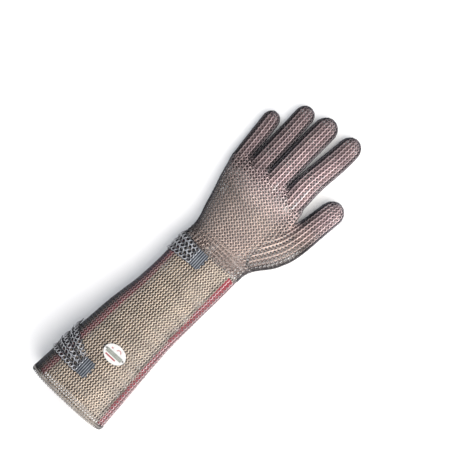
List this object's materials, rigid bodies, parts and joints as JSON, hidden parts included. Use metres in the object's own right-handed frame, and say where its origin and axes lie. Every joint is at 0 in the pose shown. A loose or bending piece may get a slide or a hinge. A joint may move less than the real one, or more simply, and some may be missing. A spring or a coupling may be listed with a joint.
{
  "type": "chain mail glove",
  "caption": "Cut-resistant glove of linked steel rings with a long stiffened cuff, hook-plate straps at wrist and forearm, and an oval badge; fingers, thumb and wrist bend.",
  "frame": {"origin": "centre of the glove's box in X and Y, on the plane that the palm and cuff rest on", "axes": "+Y from the cuff to the fingertips, +X towards the thumb, +Z out of the back of the hand"},
  "size_m": [0.1316, 0.3852, 0.074],
  "materials": {
    "mail": "satin",
    "strap_mail": "satin",
    "hook_steel": "satin",
    "stay_plastic": "satin",
    "badge_plastic": "gloss"
  },
  "bodies": {
    "hand": {"hand_back_mail": "mail", "hand_palm_mail": "mail", "knuckle_mail": "mail", "thumb_root_mail": "mail", "wrist_bend_gusset": "mail"},
    "wrist": {"wrist_mail": "mail", "wrist_side_gusset": "mail"},
    "cuff": {"cuff_top_mail": "mail", "cuff_under_mail": "mail", "thumb_side_stay": "stay_plastic", "little_side_stay": "stay_plastic", "badge": "badge_plastic"},
    "wrist_strap": {"wrist_strap": "strap_mail"},
    "wrist_hook": {"wrist_hook": "hook_steel"},
    "forearm_strap": {"forearm_strap": "strap_mail"},
    "forearm_hook": {"forearm_hook": "hook_steel"},
    "thumb_base": {"thumb_base_mail": "mail", "thumb_knuckle_gusset": "mail"},
    "thumb_lower": {"thumb_lower_mail": "mail", "thumb_tip_gusset": "mail"},
    "thumb_tip": {"thumb_tip_mail": "mail"},
    "index_lower": {"index_lower_mail": "mail", "index_middle_gusset": "mail"},
    "index_middle": {"index_middle_mail": "mail", "index_tip_gusset": "mail"},
    "index_tip": {"index_tip_mail": "mail"},
    "middle_lower": {"middle_lower_mail": "mail", "middle_middle_gusset": "mail"},
    "middle_middle": {"middle_middle_mail": "mail", "middle_tip_gusset": "mail"},
    "middle_tip": {"middle_tip_mail": "mail"},
    "ring_lower": {"ring_lower_mail": "mail", "ring_middle_gusset": "mail"},
    "ring_middle": {"ring_middle_mail": "mail", "ring_tip_gusset": "mail"},
    "ring_tip": {"ring_tip_mail": "mail"},
    "little_lower": {"little_lower_mail": "mail", "little_middle_gusset": "mail"},
    "little_middle": {"little_middle_mail": "mail", "little_tip_gusset": "mail"},
    "little_tip": {"little_tip_mail": "mail"}
  },
  "joints": [
    {"name": "wrist_bend", "type": "hinge", "parent": "hand", "child": "wrist", "pos_m": [-0.01042, 0.0304, 0.019], "axis": [1, 0, 0], "range_deg": [-40, 40], "deforming": ["wrist_bend_gusset"]},
    {"name": "wrist_side", "type": "hinge", "parent": "wrist", "child": "cuff", "pos_m": [-0.00592, 0.0134, 0.019], "axis": [0, 0, 1], "range_deg": [-15, 15], "deforming": ["wrist_side_gusset"]},
    {"name": "index_knuckle", "type": "hinge", "parent": "hand", "child": "index_lower", "pos_m": [0.01622, 0.10325, 0.0085], "axis": [-0.9943, -0.1064, 0], "range_deg": [-15, 75], "deforming": ["knuckle_mail"]},
    {"name": "index_middle_joint", "type": "hinge", "parent": "index_lower", "child": "index_middle", "pos_m": [0.01944, 0.14626, 0.008], "axis": [-0.9972, 0.0745, 0], "range_deg": [-5, 90], "deforming": ["index_middle_gusset"]},
    {"name": "index_tip_joint", "type": "hinge", "parent": "index_middle", "child": "index_tip", "pos_m": [0.0213, 0.17119, 0.008], "axis": [-0.9972, 0.0745, 0], "range_deg": [-5, 55], "deforming": ["index_tip_gusset"]},
    {"name": "middle_knuckle", "type": "hinge", "parent": "hand", "child": "middle_lower", "pos_m": [-0.01136, 0.1003, 0.0085], "axis": [-0.9943, -0.1064, 0], "range_deg": [-15, 75], "deforming": ["knuckle_mail"]},
    {"name": "middle_middle_joint", "type": "hinge", "parent": "middle_lower", "child": "middle_middle", "pos_m": [-0.00992, 0.14487, 0.008], "axis": [-0.9995, 0.0323, 0], "range_deg": [-5, 90], "deforming": ["middle_middle_gusset"]},
    {"name": "middle_tip_joint", "type": "hinge", "parent": "middle_middle", "child": "middle_tip", "pos_m": [-0.00909, 0.17036, 0.008], "axis": [-0.9995, 0.0323, 0], "range_deg": [-5, 55], "deforming": ["middle_tip_gusset"]},
    {"name": "ring_knuckle", "type": "hinge", "parent": "hand", "child": "ring_lower", "pos_m": [-0.03426, 0.09785, 0.0085], "axis": [-0.9943, -0.1064, 0], "range_deg": [-15, 75], "deforming": ["knuckle_mail"]},
    {"name": "ring_middle_joint", "type": "hinge", "parent": "ring_lower", "child": "ring_middle", "pos_m": [-0.0339, 0.1399, 0.0076], "axis": [-1, 0.0086, 0], "range_deg": [-5, 90], "deforming": ["ring_middle_gusset"]},
    {"name": "ring_tip_joint", "type": "hinge", "parent": "ring_middle", "child": "ring_tip", "pos_m": [-0.03369, 0.1639, 0.0076], "axis": [-1, 0.0086, 0], "range_deg": [-5, 55], "deforming": ["ring_tip_gusset"]},
    {"name": "little_knuckle", "type": "hinge", "parent": "hand", "child": "little_lower", "pos_m": [-0.05285, 0.09586, 0.0085], "axis": [-0.9943, -0.1064, 0], "range_deg": [-15, 75], "deforming": ["knuckle_mail"]},
    {"name": "little_middle_joint", "type": "hinge", "parent": "little_lower", "child": "little_middle", "pos_m": [-0.05514, 0.12328, 0.0066], "axis": [-0.9965, -0.083, 0], "range_deg": [-5, 90], "deforming": ["little_middle_gusset"]},
    {"name": "little_tip_joint", "type": "hinge", "parent": "little_middle", "child": "little_tip", "pos_m": [-0.05655, 0.14022, 0.0066], "axis": [-0.9965, -0.083, 0], "range_deg": [-5, 55], "deforming": ["little_tip_gusset"]},
    {"name": "thumb_swing", "type": "hinge", "parent": "hand", "child": "thumb_base", "pos_m": [0.03358, 0.0594, 0.009], "axis": [0, -1, 0], "range_deg": [-40, 10], "deforming": ["thumb_root_mail"]},
    {"name": "thumb_knuckle", "type": "hinge", "parent": "thumb_base", "child": "thumb_lower", "pos_m": [0.04751, 0.08316, 0.0095], "axis": [-0.9867, 0.1625, 0], "range_deg": [-5, 45], "deforming": ["thumb_knuckle_gusset", "thumb_root_mail"]},
    {"name": "thumb_tip_joint", "type": "hinge", "parent": "thumb_lower", "child": "thumb_tip", "pos_m": [0.05125, 0.10585, 0.0095], "axis": [-0.9867, 0.1625, 0], "range_deg": [-5, 60], "deforming": ["thumb_tip_gusset"]},
    {"name": "wrist_strap_lift", "type": "hinge", "parent": "cuff", "child": "wrist_strap", "pos_m": [-0.04482, -0.0056, 0.022], "axis": [0, -1, 0], "range_deg": [0, 100]},
    {"name": "wrist_hook_lift", "type": "hinge", "parent": "wrist_strap", "child": "wrist_hook", "pos_m": [-0.01991, -0.0046, 0.04489], "axis": [0, -1, 0], "range_deg": [0, 60]},
    {"name": "forearm_strap_lift", "type": "hinge", "parent": "cuff", "child": "forearm_strap", "pos_m": [-0.05847, -0.1446, 0.034], "axis": [-0.0951, -0.9955, 0], "range_deg": [0, 100]},
    {"name": "forearm_hook_lift", "type": "hinge", "parent": "forearm_strap", "child": "forearm_hook", "pos_m": [-0.02891, -0.1556, 0.07115], "axis": [0, -1, 0], "range_deg": [0, 60]}
  ]
}
